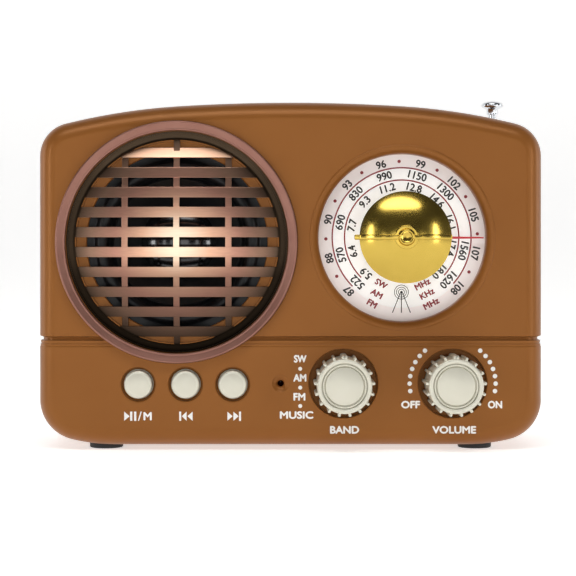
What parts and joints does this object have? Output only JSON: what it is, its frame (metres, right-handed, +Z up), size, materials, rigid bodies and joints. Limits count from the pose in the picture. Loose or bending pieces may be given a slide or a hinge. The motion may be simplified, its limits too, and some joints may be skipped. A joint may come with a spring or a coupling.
{
  "type": "table radio",
  "caption": "Small rounded brown plastic table radio with a round slatted speaker, round tuning dial, ribbed knobs, push buttons and a telescopic antenna behind.",
  "frame": {"origin": "under the middle of the whole radio, on the surface that its feet stand on", "axes": "+X to the right seen from the front, -Y out of the front, +Z up"},
  "size_m": [0.1264, 0.0666, 0.0913],
  "materials": {
    "brown_case": "satin",
    "bronze_trim": "satin",
    "copper_trim": "satin",
    "cream_plastic": "gloss",
    "gold_plating": "polished",
    "dial_print": "printed",
    "red_pointer": "painted",
    "chrome": "polished",
    "steel": "plated",
    "rubber": "matte",
    "speaker_paper": "paper cone",
    "magnet": "ferrite and plated steel",
    "black_plastic": "moulded",
    "board": "circuit board",
    "component": "component",
    "ferrite": "sintered ferrite",
    "copper_wire": "enamelled copper wire",
    "battery_wrap": "foil wrap",
    "brass": "plated"
  },
  "bodies": {
    "case": {"front_shell": "brown_case", "rear_shell": "brown_case", "rubber_feet": "rubber", "case_screws": "steel", "speaker_ring": "copper_trim", "speaker_grille": "bronze_trim", "speaker_basket": "steel", "speaker_magnet": "magnet", "speaker_cone": "speaker_paper", "speaker_dust_cap": "speaker_paper", "speaker_screws": "steel", "dial_plate": "dial_print", "tuning_capacitor": "component", "band_switch": "black_plastic", "volume_control": "steel", "button_switches": "black_plastic", "status_lamp": "red_pointer", "main_board": "board", "board_screws": "steel", "board_chips": "black_plastic", "board_capacitors": "component", "headphone_jack": "black_plastic", "usb_socket": "steel", "charge_socket": "steel", "card_socket": "steel", "ferrite_rod": "ferrite", "ferrite_coil": "copper_wire", "battery": "battery_wrap", "battery_contacts": "brass", "antenna_bracket": "steel", "antenna_pin": "steel"},
    "tuning_control": {"tuning_knob": "gold_plating", "dial_pointer": "red_pointer", "tuning_shaft": "steel"},
    "band_control": {"band_knob": "cream_plastic", "band_shaft": "steel"},
    "volume_knob_set": {"volume_knob": "cream_plastic", "volume_shaft": "steel"},
    "play_key": {"play_button": "cream_plastic", "play_plunger": "black_plastic"},
    "previous_key": {"previous_button": "cream_plastic", "previous_plunger": "black_plastic"},
    "next_key": {"next_button": "cream_plastic", "next_plunger": "black_plastic"},
    "back_cover": {"battery_door": "brown_case"},
    "antenna_base": {"antenna_base_tube": "chrome"},
    "antenna_2": {"antenna_tube_2": "chrome"},
    "antenna_3": {"antenna_tube_3": "chrome"},
    "antenna_4": {"antenna_tube_4": "chrome"},
    "antenna_end": {"antenna_tip": "chrome"}
  },
  "joints": [
    {"name": "tuning_turn", "type": "hinge", "parent": "case", "child": "tuning_control", "pos_m": [0.028, -0.01675, 0.0533], "axis": [0, -1, 0], "range_deg": [-42, 226]},
    {"name": "band_turn", "type": "hinge", "parent": "case", "child": "band_control", "pos_m": [0.0132, -0.01675, 0.0168], "axis": [0, -1, 0], "range_deg": [0, 132]},
    {"name": "volume_turn", "type": "hinge", "parent": "case", "child": "volume_knob_set", "pos_m": [0.0405, -0.01675, 0.0168], "axis": [0, -1, 0], "range_deg": [-120, 120]},
    {"name": "play_press", "type": "slide", "parent": "case", "child": "play_key", "axis": [0, 1, 0], "range_m": [0, 0.0005], "stiffness_N_per_m": 2000},
    {"name": "previous_press", "type": "slide", "parent": "case", "child": "previous_key", "axis": [0, 1, 0], "range_m": [0, 0.0005], "stiffness_N_per_m": 2000},
    {"name": "next_press", "type": "slide", "parent": "case", "child": "next_key", "axis": [0, 1, 0], "range_m": [0, 0.0005], "stiffness_N_per_m": 2000},
    {"name": "back_cover_lift", "type": "slide", "parent": "case", "child": "back_cover", "axis": [0, 1, 0], "range_m": [0, 0.015]},
    {"name": "antenna_tilt", "type": "hinge", "parent": "case", "child": "antenna_base", "pos_m": [0.0557, 0.03005, 0.0117], "axis": [-1, 0, 0], "range_deg": [0, 90]},
    {"name": "antenna_draw_2", "type": "slide", "parent": "antenna_base", "child": "antenna_2", "axis": [0, 0, 1], "range_m": [0, 0.056]},
    {"name": "antenna_draw_3", "type": "slide", "parent": "antenna_2", "child": "antenna_3", "axis": [0, 0, 1], "range_m": [0, 0.056]},
    {"name": "antenna_draw_4", "type": "slide", "parent": "antenna_3", "child": "antenna_4", "axis": [0, 0, 1], "range_m": [0, 0.056]},
    {"name": "antenna_draw_tip", "type": "slide", "parent": "antenna_4", "child": "antenna_end", "axis": [0, 0, 1], "range_m": [0, 0.056]}
  ]
}
